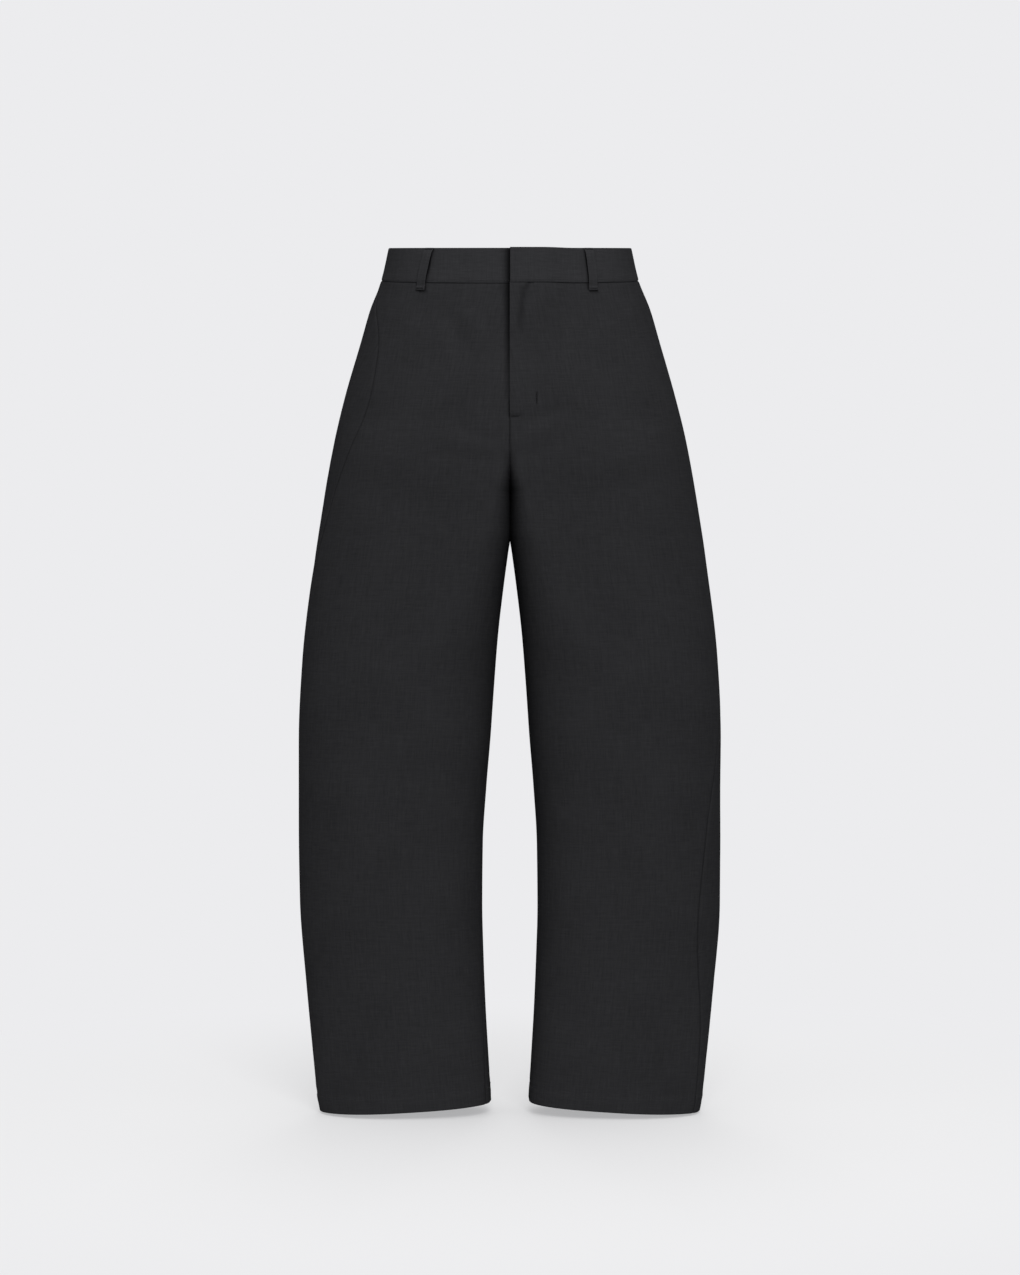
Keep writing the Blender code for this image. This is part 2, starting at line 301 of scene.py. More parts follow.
# Soft creases, as the cloth hangs: from one place to the other, in mm.
creases = {
    "columns": ("panel", "arcFrom", "levelFrom", "arcTo", "levelTo", "width", "depth"),
    "rows": (
        ("frontRight", 40, -40, 24, -76, 9, 1.4),
        ("frontRight", 78, -52, 50, -104, 11, 1.6),
        ("frontRight", 112, -40, 92, -74, 10, 0.9),
        ("frontRight", 14, -214, 58, -192, 9, 1.0),
        ("frontRight", 20, -238, 84, -222, 12, 1.1),
        ("frontRight", 150, -300, 208, -262, 18, 0.9),
        ("frontRight", 96, -585, 168, -610, 20, 0.7),
        ("frontLeft", 52, -172, 26, -190, 8, 1.5),
        ("frontLeft", 60, -60, 34, -118, 12, 0.6),
        ("frontLeft", 104, -44, 88, -84, 10, 0.7),
        ("frontLeft", 16, -232, 72, -206, 11, 1.1),
        ("frontLeft", 132, -286, 196, -250, 17, 0.8),
        ("frontLeft", 84, -640, 150, -622, 19, 0.7),
        ("backRight", 460, -236, 392, -206, 16, 2.0),
        ("backRight", 452, -262, 360, -246, 19, 2.4),
        ("backRight", 420, -318, 330, -284, 20, 1.8),
        ("backRight", 396, -560, 330, -585, 18, 1.6),
        ("backRight", 404, -622, 322, -610, 22, 1.9),
        ("backRight", 392, -690, 340, -712, 16, 1.0),
        ("backLeft", 462, -228, 398, -196, 15, 1.9),
        ("backLeft", 450, -270, 366, -238, 21, 2.3),
        ("backLeft", 424, -326, 340, -300, 18, 1.6),
        ("backLeft", 400, -548, 328, -566, 20, 1.7),
        ("backLeft", 392, -604, 336, -626, 17, 1.8),
        ("backLeft", 398, -676, 332, -668, 20, 1.1),
    ),
}


def creaseLift(panel, level, fromSide):
    # Places are told from the side, since the inner wall lengthens fast at the fork.
    lift = np.zeros_like(fromSide)
    for row in creases["rows"]:
        fold = dict(zip(creases["columns"], row))
        if fold["panel"] != panel or not fold["depth"]:
            continue
        begin = fold["arcFrom"] - section(fold["levelFrom"])[2]
        finish = fold["arcTo"] - section(fold["levelTo"])[2]
        run = np.array((finish - begin, fold["levelTo"] - fold["levelFrom"]))
        length = np.hypot(*run)
        run = run / length
        dArc = fromSide - begin
        dLevel = level - fold["levelFrom"]
        along = (dArc * run[0] + dLevel * run[1]) / length
        across = (dLevel * run[0] - dArc * run[1]) + 0.05 * length * np.sin(2.5 * along)
        fade = ease((along + 0.35) / 0.6) * ease((1.35 - along) / 0.6)
        trough = np.exp(-((across / fold["width"]) ** 2))
        ridge = np.exp(-(((across - 1.7 * fold["width"]) / fold["width"]) ** 2))
        lift += fold["depth"] * fade * (relief["foldRidge"] * ridge - trough)
    return lift * ease(np.abs(fromSide) / relief["sideFade"])


def waveLift(level, fromSide, edgeDistance, seed):
    # Slow waves that fade out at the seams.
    along = fromSide + 240
    wave = np.sin(along / 61 + level / 143 + seed) * np.sin(level / 97 - along / 171 + 2 * seed)
    wave += 0.6 * np.sin(along / 29 - level / 210 + 3 * seed) * np.sin(level / 61 + 1.7 * seed)
    wave += 0.35 * np.sin(along / 17 + level / 33 + seed) * np.sin(along / 83 - level / 47)
    return relief["wave"] * wave * ease(edgeDistance / 50)


# The fly: its stitched line runs down beside the lap and curves in to the fly foot.
fly = {
    "stitchArc": 31, "curveFrom": -146, "foot": -181.5,
    "facingArc": 12.5, "facingFlare": 11, "facingTo": -92,
}


def flyLine(level):
    # The arc of the fly's stitch line, or None under the fly foot.
    if level < fly["foot"]:
        return None
    down = max(fly["curveFrom"] - level, 0) / (fly["curveFrom"] - fly["foot"])
    return fly["stitchArc"] * math.sqrt(max(1 - down * down, 0)) + 0.5


def facingShare(level, arcs):
    # Where the edge of the fly's facing shows, from the waist seam down.
    fade = ease((level - fly["facingTo"]) / 40)
    edge = fly["facingArc"] + fly["facingFlare"] * math.exp((level - garment["bandSeam"]) / 9)
    return fade * np.exp(-(((arcs - edge) / relief["facingWidth"]) ** 2))


def flyLift(level, arcs):
    lift = np.zeros_like(arcs)
    line = flyLine(level)
    if line is not None:
        lift -= relief["flyStitch"] * np.exp(-(((arcs - line) / relief["flyStitchWidth"]) ** 2))
        lift += 0.3 * ease((line - arcs) / 4)
    return lift - relief["facingEdge"] * facingShare(level, arcs)


def hemLift(level, arcs, seed):
    rise = level - garment["hem"]
    lift = np.zeros_like(arcs)
    if rise < 45:
        lift += relief["hemRidge"] * float(ease((garment["hemDepth"] + 0.8 - rise) / 1.6))
        pucker = np.sin((arcs + 0.55 * rise) / relief["puckerLength"] * 2 * math.pi + seed)
        pucker += 0.5 * np.sin(arcs / 5.1 + 2 * seed)
        near = math.exp(-(((rise - garment["hemDepth"]) / 14) ** 2))
        lift += relief["hemPucker"] * pucker * near
        lift -= 0.35 * math.exp(-(((rise - garment["hemDepth"] + 1) / 0.9) ** 2))
    if rise < 1.2:
        lift -= 1.0 * (1 - math.sqrt(max(1 - ((1.2 - rise) / 1.2) ** 2, 0)))
    return lift


# Columns and rows of the cloth meshes.
closeColumns = {
    "columns": ("distance", "wallShare"),
    "rows": ((0, 0), (0.35, 0), (0.8, 0), (1.4, 0), (2.2, 0.02), (3.4, 0.15), (5, 0.5), (8, 1)),
}
meshing = {"corner": 18, "rest": 38, "rowStep": 5.5}


def panelLevels():
    seam = garment["bandSeam"] - garment["seamGap"]
    levels = [seam, seam - 0.4, seam - 0.9, seam - 1.6, seam - 2.6, seam - 4.2]
    levels += list(np.arange(-26, -150, -meshing["rowStep"]))
    levels += list(np.arange(-150, garment["flyFoot"], -2.5)) + [garment["flyFoot"]]
    levels += list(np.arange(-185, -268, -3)) + [-270.5, -273, -275.5, -277.5, -279, -279.7]
    fork = garment["fork"]
    levels += [fork, fork - 0.7, fork - 1.8, fork - 3.4, fork - 5.8, fork - 9, fork - 13]
    levels += list(np.arange(fork - 18, garment["hem"] + 30, -meshing["rowStep"]))
    rises = (27, 24.5, 22.8, 21.6, 20.8, 20.2, 19.6, 19, 18.4, 17.6, 16, 13, 10, 7, 4.5, 2.6)
    rises += (1.2, 0.8, 0.45, 0.2, 0.05, 0)
    return levels + [garment["hem"] + rise for rise in rises]


def panelColumns(start, corner, middle, end):
    # Close columns at both seams. Those on the inner corner keep their places from row to
    # row, and the ones before it take up the flat inner wall.
    side = 1 if end > start else -1
    wall = max((corner - start) * side, 0)
    close = [start + side * (d + share * wall) for d, share in closeColumns["rows"]]
    first = close[-1]
    last = [end - side * d for d, _ in closeColumns["rows"]][::-1]
    inner = np.linspace(first, middle, meshing["corner"] + 1)[1:-1]
    rest = np.linspace(middle, last[0], meshing["rest"] + 1)[:-1]
    return np.concatenate((close, inner, rest, last))


def buildShell(name, outer, inner, grain, paintedShade, material, side="left"):
    # A closed wall between two grids of points, with its weave along the grain map and painted shade on its
    # outer face.
    rows, columns = outer.shape[:2]
    count = rows * columns
    index = np.arange(count).reshape(rows, columns)
    a, b = index[:-1, :-1].ravel(), index[1:, :-1].ravel()
    c, d = index[1:, 1:].ravel(), index[:-1, 1:].ravel()
    rim = np.concatenate((index[0, :-1], index[:-1, -1], index[-1, :0:-1], index[:0:-1, 0]))
    following = np.roll(rim, -1)
    faces = np.concatenate((
        np.stack((a, b, c, d), 1),
        np.stack((d, c, b, a), 1) + count,
        np.stack((rim, following, following + count, rim + count), 1),
    ))
    points = np.concatenate((outer.reshape(-1, 3), inner.reshape(-1, 3))) * mm
    if side == "right":
        points = points * (-1, 1, 1)
    p0, p1, p2, p3 = (points[faces[:, k]] for k in range(4))
    volume = np.einsum("ij,ij->i", p0, np.cross(p1, p2) + np.cross(p2, p3)).sum()
    if volume < 0:
        faces = faces[:, ::-1]
    mesh = bpy.data.meshes.new(name)
    mesh.from_pydata(points.tolist(), [], faces.tolist())
    uv = mesh.uv_layers.new(name="grain")
    perVertex = np.concatenate((grain.reshape(-1, 2),) * 2) * mm
    uv.data.foreach_set("uv", perVertex[faces.ravel()].astype(np.float32).ravel())
    # Painted shade for the cloth material to read: given on the outer face, none on the inner.
    dark = mesh.attributes.new("paintedShade", "FLOAT", "POINT")
    dark.data.foreach_set("value", np.append(paintedShade, np.zeros(count)).astype(np.float32))
    mesh.materials.append(material)
    mesh.shade_smooth()
    mesh.set_sharp_from_angle(angle=math.radians(55))
    piece = bpy.data.objects.new(name, mesh)
    bpy.context.scene.collection.objects.link(piece)
    return piece


def grainAt(level, arcs, onBack):
    # Threads run down the middle of the panel.
    outline, _, _, _ = section(level)
    middle = (outline[:, 0].min() + outline[:, 0].max()) / 2
    across = np.asarray(arcs) - arcOf(level, middle, onBack)
    return np.stack((across, np.full(len(across), float(level))), -1)


panels = {
    "columns": ("name", "node", "side", "onBack", "seed", "cutWidth", "cutLength", "cutArea"),
    "rows": (
        ("frontRight", "front_right", "right", False, 0.4, 0.30, 0.99, 0.266),
        ("frontLeft", "front_left", "left", False, 2.1, 0.30, 0.99, 0.268),
        ("backRight", "back_right", "right", True, 3.3, 0.36, 1.03, 0.324),
        ("backLeft", "back_left", "left", True, 5.0, 0.36, 1.03, 0.32),
    ),
}


def panelEdges(level, side, onBack):
    # The arcs of a panel's inner and outer seams.
    _, arc, sideArc, corners = section(level)
    gap = garment["seamGap"]
    turn = read(turnAt[side + "Inseam"], level) if level < garment["fork"] else 0
    outseam = sideArc - read(turnAt[side + "Outseam"], level)
    if onBack:
        return arc[-1] + turn - gap, corners[1], outseam + gap
    start = turn + gap
    if level > garment["flyFoot"] and side == "right":
        span = garment["underlapFull"] - garment["underlapEnd"]
        start -= garment["flyUnderlap"] * float(np.clip((level - garment["underlapEnd"]) / span, 0, 1))
    return start, corners[0], outseam - gap


def panelLift(panel, level, arcs, start, end):
    # Everything that moves a panel's outer face.
    fromInner = np.abs(arcs - start)
    fromOuter = np.abs(end - arcs)
    _, _, sideArc, corners = section(level)
    fromSide = arcs - sideArc
    fromCorner = corners[1] - arcs if panel["onBack"] else arcs - corners[0]
    edgeDistance = np.minimum(np.maximum(fromCorner, 0), fromOuter)
    lift = waveLift(level, fromSide, edgeDistance, panel["seed"])
    lift = lift * float(ease((garment["bandSeam"] - level) / 45))
    lift += creaseLift(panel["name"], level, fromSide)
    lift += hemLift(level, arcs, panel["seed"])
    if not panel["onBack"] and panel["side"] == "left":
        lift += lap(level, arcs) + flyLift(level, arcs)
    else:
        lift -= relief["seamDip"] * np.exp(-((fromInner / relief["seamWidth"]) ** 2))
    if level < garment["flyFoot"]:
        lift += relief["allowance"] * ease((relief["allowanceWidth"] - fromInner) / 3)
    lift -= relief["seamDip"] * np.exp(-((fromOuter / relief["seamWidth"]) ** 2))
    lift += relief["allowance"] * ease((relief["allowanceWidth"] - fromOuter) / 3)
    fromWaist = garment["bandSeam"] - level
    lift -= relief["waistDip"] * math.exp(-((fromWaist / relief["waistWidth"]) ** 2))
    return lift


# Belt loops: narrow strips that stand off the band, with a folded lower end.
beltLoops = {
    "columns": ("name", "node", "side", "onBack", "upper", "lower"),
    "rows": (
        ("beltLoopFrontRight", "loop_front_right", "right", False, 92.5, 103.5),
        ("beltLoopFrontLeft", "loop_front_left", "left", False, 90, 96),
        ("beltLoopBackRight", "loop_back_right", "right", True, 96, 104),
        ("beltLoopBackLeft", "loop_back_left", "left", True, 96, 104),
        ("beltLoopCentreBack", "loop_centre_back", "left", True, 0, 0),
    ),
}
loopArch = {
    "columns": ("level", "clear", "thick"),
    "rows": (
        (19.6, 0.8, 1.2), (17.5, 1.6, 1.2), (12, 3.8, 1.2), (2, 4.2, 1.2), (-8, 4.2, 1.2),
        (-16, 3.6, 1.2), (-20.5, 2.2, 1.2), (-23.2, 1.0, 1.4), (-24.6, 0.4, 2.4), (-28, 0.3, 2.4),
    ),
}
loopLook = {"wide": 11, "edgeRoll": 0.5, "stitchInset": 1.6, "cutWidth": 0.012, "cutLength": 0.056}
archAt = makeCurves(loopArch)


def loopPath(loop):
    # The arcs of a loop's middle at a level.
    top, end = loopArch["rows"][0][0], loopArch["rows"][-1][0]

    def middleAt(level):
        down = (garment["bandTop"] - level) / (garment["bandTop"] - end)
        x = loop["upper"] + (loop["lower"] - loop["upper"]) * down
        return arcOf(level, x, loop["onBack"])

    return top, end, middleAt


# Painted shade, from 0 to 1: how far the cloth's colour is darkened where it is tucked in and light hardly
# reaches.
paintedShadeStrength = {
    "seam": 0.35, "seamWidth": 1.2, "centre": 0.55, "waist": 0.3, "waistWidth": 1.4,
    "slit": 0.9, "slitTop": 7.5, "slitFoot": 1.6, "bandSlit": 0.85, "bandSlitWidth": 6,
    "loop": 0.85, "loopReach": 6.4, "facing": 0.3,
}


def loopPaintedShade(level, arcs, side, onBack):
    # Painted shade on the cloth under a belt loop.
    shade = np.zeros_like(arcs)
    for row in beltLoops["rows"]:
        loop = dict(zip(beltLoops["columns"], row))
        if loop["onBack"] != onBack or (loop["side"] != side and loop["upper"]):
            continue
        _, end, middleAt = loopPath(loop)
        near = ease((paintedShadeStrength["loopReach"] - np.abs(arcs - middleAt(level))) / 1.8)
        shade = np.maximum(shade, paintedShadeStrength["loop"] * near * ease((level - end + 1.4) / 1.6))
    return shade


def panelPaintedShade(panel, level, arcs, start, end):
    # Painted shade on a panel: along its seams and the waist seam, the centre seam, by the fly facing and
    # under the belt loops, and a painted shadow of the lap beside the fly slit.
    shade = paintedShadeStrength["seam"] * np.exp(-(((end - arcs) / paintedShadeStrength["seamWidth"]) ** 2))
    inner = paintedShadeStrength["seam"] * np.exp(-(((arcs - start) / paintedShadeStrength["seamWidth"]) ** 2))
    if not panel["onBack"] and level > garment["fork"]:
        if level < garment["flyFoot"]:
            inner = inner * paintedShadeStrength["centre"] / paintedShadeStrength["seam"]
        elif panel["side"] == "right":
            tall = (level - garment["flyFoot"]) / (garment["bandSeam"] - garment["flyFoot"])
            wide = paintedShadeStrength["slitFoot"] + (paintedShadeStrength["slitTop"] - paintedShadeStrength["slitFoot"]) * tall * tall
            inner = paintedShadeStrength["slit"] * np.exp(-((np.maximum(arcs, 0) / wide) ** 2))
        else:
            inner = paintedShadeStrength["facing"] * facingShare(level, arcs)
    shade = np.maximum(shade, inner)
    waist = paintedShadeStrength["waist"] * math.exp(-(((garment["bandSeam"] - level) / paintedShadeStrength["waistWidth"]) ** 2))
    shade = np.maximum(shade, waist)
    if level > loopArch["rows"][-1][0] - 4:
        shade = np.maximum(shade, loopPaintedShade(level, arcs, panel["side"], panel["onBack"]))
    return shade


def buildPanel(row, material):
    panel = dict(zip(panels["columns"], row))
    side, onBack = panel["side"], panel["onBack"]
    outer, inner, grain, shade = [], [], [], []
    for level in panelLevels():
        start, corner, end = panelEdges(level, side, onBack)
        outline = section(level)[0]
        reach = max(read(innerAt["gap"], level) + read(innerAt["cornerWide"], level) + 6, 36)
        reach = min(reach, (outline[:, 0].min() + outline[:, 0].max()) / 2)
        arcs = panelColumns(start, corner, arcOf(level, reach, onBack), end)
        lift = panelLift(panel, level, arcs, start, end)
        cloth = garment["cloth"]
        if level < garment["hem"] + garment["hemDepth"] + 1:
            cloth = garment["hemCloth"]
        base = lap(level, arcs) if not onBack and side == "left" else 0 * arcs
        under = np.minimum(base - cloth, lift - 0.45)
        outer.append(place(level, arcs, lift)[0])
        inner.append(place(level, arcs, under)[0])
        grain.append(grainAt(level, arcs, onBack))
        shade.append(panelPaintedShade(panel, level, arcs, start, end))
    outer, inner, grain = np.array(outer), np.array(inner), np.array(grain)
    piece = buildShell(panel["name"], outer, inner, grain, shade, material, side)
    finishPiece(piece, "cloth", panel["node"])
    "waistband_" + side
    return outer


def finishPiece(piece, slotName, *nodes):
    if nodes:
        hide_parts(*nodes)
    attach(piece, "root")


# Shader maths: a Value wraps one socket, so that an expression adds its Math nodes.
class Value:
    def __init__(self, shade, socket):
        self.shade = shade
        self.socket = socket

    def __add__(self, other):
        return self.shade.maths("ADD", self, other)

    def __sub__(self, other):
        return self.shade.maths("SUBTRACT", self, other)

    def __rsub__(self, other):
        return self.shade.maths("SUBTRACT", other, self)

    def __mul__(self, other):
        return self.shade.maths("MULTIPLY", self, other)

    __radd__ = __add__
    __rmul__ = __mul__


class Shade:
    # One material's nodes.
    def __init__(self, name):
        self.material = bpy.data.materials.new(name)
        self.material.use_nodes = True
        self.tree = self.material.node_tree
        self.surface = self.tree.nodes["Principled BSDF"]

    def node(self, kind, settings=None, values=None):
        made = self.tree.nodes.new(kind)
        for key, value in (settings or {}).items():
            setattr(made, key, value)
        for key, value in (values or {}).items():
            self.feed(made.inputs[key], value)
        return made

    def feed(self, socket, value):
        if isinstance(value, Value):
            self.tree.links.new(value.socket, socket)
        else:
            socket.default_value = value

    def maths(self, operation, *values):
        made = self.node("ShaderNodeMath", {"operation": operation}, dict(enumerate(values)))
        return Value(self, made.outputs[0])

    def noise(self, vector, scale, detail=2):
        values = {"Vector": vector, "Scale": scale, "Detail": detail}
        return Value(self, self.node("ShaderNodeTexNoise", None, values).outputs[0])

    def mixColours(self, share, first, second):
        values = {"Factor": share, 6: first, 7: second}
        return Value(self, self.node("ShaderNodeMix", {"data_type": "RGBA"}, values).outputs[2])


# The cloth: a matt, near black plain weave with slubs both ways. Sizes are in metres.
clothLook = {
    "dark": (0.0200, 0.0201, 0.0217, 1),
    "light": (0.0388, 0.0389, 0.0418, 1),
    # The near black colour of the painted shade, where light hardly reaches.
    "paintedShade": (0.0015, 0.0015, 0.0017, 1),
    "thread": 0.00062,
    "slubWide": 420, "slubLong": 22,         # how many to a metre, across and along a thread
    "fineWide": 1300, "fineLong": 70,
    "mottle": 16,
    "roughness": 0.82,
    "gloss": 0.0, "sheen": 0.008, "sheenRoughness": 0.3, "sheenTint": (0.62, 0.64, 0.68, 1),
    "weaveHeight": 0.00016,
}


def clothMaterial(name, look, paintedLight=1.0):
    shade = Shade(name)
    grain = shade.node("ShaderNodeUVMap", {"uv_map": "grain"})
    split = shade.node("ShaderNodeSeparateXYZ", None, {0: Value(shade, grain.outputs[0])})
    across, down = (Value(shade, split.outputs[k]) for k in range(2))

    def stretched(wide, long, shift):
        values = {0: across * wide, 1: down * long, 2: shift}
        return Value(shade, shade.node("ShaderNodeCombineXYZ", None, values).outputs[0])

    warp = shade.noise(stretched(look["slubWide"], look["slubLong"], 0.0), 1.0)
    weft = shade.noise(stretched(look["slubLong"], look["slubWide"], 5.0), 1.0)
    fineWarp = shade.noise(stretched(look["fineWide"], look["fineLong"], 9.0), 1.0, 1)
    fineWeft = shade.noise(stretched(look["fineLong"], look["fineWide"], 14.0), 1.0, 1)
    mottle = shade.noise(stretched(look["mottle"], look["mottle"], 3.0), 1.0, 3)

    turn = math.pi / look["thread"]
    warpWave = shade.maths("SINE", across * turn)
    weftWave = shade.maths("SINE", down * turn)
    over = shade.maths("GREATER_THAN", warpWave * weftWave, 0.0)
    weave = over * shade.maths("ABSOLUTE", warpWave)
    weave = weave + (1 - over) * shade.maths("ABSOLUTE", weftWave)

    slub = (warp - 0.5) * 0.5 + (weft - 0.5) * 0.4
    fine = (fineWarp - 0.5) * 0.6 + (fineWeft - 0.5) * 0.6
    tone = 0.5 + slub + fine + (mottle - 0.5) * 0.35 + (weave - 0.6) * 0.22
    tone = shade.node("ShaderNodeClamp", None, {"Value": tone})
    # Painted light: both tones are scaled by the painted light factor, 1 for the plain cloth.
    dark = tuple(paintedLight * c for c in look["dark"][:3]) + (1,)
    light = tuple(paintedLight * c for c in look["light"][:3]) + (1,)
    colour = shade.mixColours(Value(shade, tone.outputs[0]), dark, light)
    # Painted shade: the colour is mixed towards the painted shade colour by the mesh's painted shade
    # attribute.
    paintedShade = shade.node("ShaderNodeAttribute", {"attribute_name": "paintedShade"})
    colour = shade.mixColours(Value(shade, paintedShade.outputs["Fac"]), colour, look["paintedShade"])
    height = weave + slub * 1.2 + fine * 0.9
    bump = shade.node("ShaderNodeBump", None, {
        "Strength": 0.35, "Distance": look["weaveHeight"], "Height": height,
    })
    surface = shade.surface
    shade.feed(surface.inputs["Base Color"], colour)
    shade.feed(surface.inputs["Roughness"], look["roughness"] + (mottle - 0.5) * 0.12)
    shade.feed(surface.inputs["Normal"], Value(shade, bump.outputs[0]))
    surface.inputs["Specular IOR Level"].default_value = look["gloss"]
    surface.inputs["Sheen Weight"].default_value = look["sheen"]
    surface.inputs["Sheen Roughness"].default_value = look["sheenRoughness"]
    surface.inputs["Sheen Tint"].default_value = look["sheenTint"]
    return shade.material


def threadMaterial(name, colour):
    shade = Shade(name)
    place = shade.node("ShaderNodeTexCoord")
    twist = shade.noise(Value(shade, place.outputs["Object"]), 2600.0, 1)
    dark = tuple(0.75 * c for c in colour[:3]) + (1,)
    shade.feed(shade.surface.inputs["Base Color"], shade.mixColours(twist, dark, colour))
    shade.feed(shade.surface.inputs["Roughness"], 0.5 + twist * 0.25)
    shade.surface.inputs["Specular IOR Level"].default_value = 0.1
    return shade.material


def steelMaterial(name):
    shade = Shade(name)
    place = shade.node("ShaderNodeTexCoord")
    brush = shade.node("ShaderNodeMapping", None, {
        "Vector": Value(shade, place.outputs["Object"]), "Scale": (60, 60, 2400),
    })
    lines = shade.noise(Value(shade, brush.outputs[0]), 1.0, 2)
    tone = shade.mixColours(lines, (0.34, 0.34, 0.35, 1), (0.52, 0.52, 0.53, 1))
    shade.feed(shade.surface.inputs["Base Color"], tone)
    shade.feed(shade.surface.inputs["Roughness"], 0.26 + lines * 0.18)
    shade.surface.inputs["Metallic"].default_value = 1
    return shade.material


def tapeMaterial(name):
    shade = Shade(name)
    place = shade.node("ShaderNodeTexCoord")
    ribs = shade.node("ShaderNodeMapping", None, {
        "Vector": Value(shade, place.outputs["Object"]), "Scale": (1500, 400, 500),
    })
    knit = shade.noise(Value(shade, ribs.outputs[0]), 1.0, 1)
    tone = shade.mixColours(knit, (0.012, 0.012, 0.013, 1), (0.03, 0.03, 0.032, 1))
    shade.feed(shade.surface.inputs["Base Color"], tone)
    shade.feed(shade.surface.inputs["Roughness"], 0.6 + knit * 0.2)
    return shade.material


cloth = clothMaterial("blackCotton", clothLook)
# Painted light: the waistband and belt loops use the same cloth made 1.16 times lighter, as the band catches
# more light.
bandClothPaintedLighter = clothMaterial("bandCottonPaintedLighter", clothLook, 1.16)
thread = threadMaterial("blackThread", (0.026, 0.026, 0.028, 1))
steel = steelMaterial("hookSteel")
tape = tapeMaterial("zipTape")
print("materials made")

for row in panels["rows"]:
    buildPanel(row, cloth)
print("leg panels made")

# The waistband: two layers, a folded upper edge, and the left end lapping over the right.
waistband = {
    "proud": 0.5, "thick": 2.4, "underlap": 32, "roundEnd": 3.0,
    "columns": 220, "cutWidth": 0.42, "cutLength": 0.04,
}


def bandLevels():
    top, seam = garment["bandTop"], garment["bandSeam"] + garment["seamGap"]
    upper = [top, top - 0.15, top - 0.5, top - 1.0, top - 1.7, top - 3]
    lower = [seam + 3, seam + 1.7, seam + 0.9, seam + 0.4, seam]
    return upper + list(np.linspace(top - 6, seam + 5.5, 9)) + lower


def buildBand(side):
    top, seam = garment["bandTop"], garment["bandSeam"]
    half = waistband["thick"] / 2
    outer, inner, grain, shade = [], [], [], []
    for level in bandLevels():
        whole = section(level)[1][-1]
        start = 0 if side == "left" else -waistband["underlap"]
        end = whole - garment["seamGap"]
        steps = np.linspace(0, 1, waistband["columns"])
        arcs = np.concatenate(((0, 0.3, 0.8, 1.5, 2.6), 4 + (end - start - 7) * steps))
        arcs = start + np.concatenate((arcs, end - start - np.array((1.8, 1.0, 0.4, 0))))
        middle = waistband["proud"] - half
        roll = math.sqrt(max(1 - (max(1.7 - (top - level), 0) / 1.7) ** 2, 0.03))
        endRoll = np.sqrt(np.clip(1 - (np.clip(1.5 - (arcs - start), 0, 1.5) / 1.5) ** 2, 0.05, 1))
        thick = half * roll * endRoll
        sunk = 0.5 * math.exp(-(((level - seam) / 0.7) ** 2))
        dip = 0.6 * np.exp(-(((end - arcs) / 1.2) ** 2))
        soft = 0.18 * np.sin(arcs / 23 + 1.1) * np.sin((level + 4) / 9) + 0.1 * np.sin(arcs / 9)
        lift = lap(level, arcs) if side == "left" else 0 * arcs
        lift = lift + middle
        outer.append(place(level, arcs, lift + thick - sunk - dip + soft * thick / half)[0])
        inner.append(place(level, arcs, lift - thick)[0])
        grain.append(np.stack((np.full(len(arcs), float(level)), arcs), -1))
        # Painted shade under the belt loops and, on the right end, a painted shadow of the left end's lap
        # beside the slit.
        dark = np.maximum(*(loopPaintedShade(level, arcs, side, onBack) for onBack in (False, True)))
        if side == "right":
            slit = np.exp(-((np.maximum(arcs, 0) / paintedShadeStrength["bandSlitWidth"]) ** 2))
            dark = np.maximum(dark, paintedShadeStrength["bandSlit"] * slit)
        shade.append(dark)
    name = "waistbandRight" if side == "right" else "waistbandLeft"
    outer, inner, grain = np.array(outer), np.array(inner), np.array(grain)
    piece = buildShell(name, outer, inner, grain, shade, bandClothPaintedLighter, side)
    finishPiece(piece, "cloth", "waistband_" + side)


for side in ("right", "left"):
    buildBand(side)
print("waistband made")

def buildLoop(row):
    loop = dict(zip(beltLoops["columns"], row))
    top, end, middleAt = loopPath(loop)
    half = loopLook["wide"] / 2
    across = half * np.array((-1, -0.97, -0.9, -0.78, -0.5, -0.2, 0.2, 0.5, 0.78, 0.9, 0.97, 1))
    levels = np.concatenate((
        (top, top - 0.2, top - 0.6, top - 1.2), np.linspace(top - 2, end + 6.5, 26),
        np.linspace(end + 5.6, end + 1, 9), (end + 0.6, end + 0.3, end + 0.1, end),
    ))
    outer, inner, grain = [], [], []
    for level in levels:
        arcs = middleAt(level) + across
        clear = read(archAt["clear"], level)
        thick = read(archAt["thick"], level)
        edge = loopLook["edgeRoll"] * (np.abs(across) / half) ** 8
        cap = 0.5 * math.exp(-(((level - end) / 0.5) ** 2)) + 0.4 * math.exp(-(((level - top) / 0.6) ** 2))
        welt = 0.12 * np.cos(across / half * math.pi * 2)
        outer.append(place(level, arcs, clear + thick - edge - cap + welt)[0])
        inner.append(place(level, arcs, clear + 0.4 * edge)[0])
        grain.append(np.stack((across, np.full(len(across), float(level))), -1))
    outer, inner, grain = np.array(outer), np.array(inner), np.array(grain)
    shade = np.zeros(outer.shape[:2])
    piece = buildShell(loop["name"], outer, inner, grain, shade, bandClothPaintedLighter, loop["side"])
    finishPiece(piece, "cloth", loop["node"])
    "waistband_" + loop["side"]


for row in beltLoops["rows"]:
    buildLoop(row)
print("belt loops made")


# Geometry Nodes: stitches set along a path, and a thread that follows one.
def addSocket(tree, name, kind, inOut="INPUT", value=None):
    made = tree.interface.new_socket(name=name, in_out=inOut, socket_type=kind)
    if value is not None:
        made.default_value = value
    return made


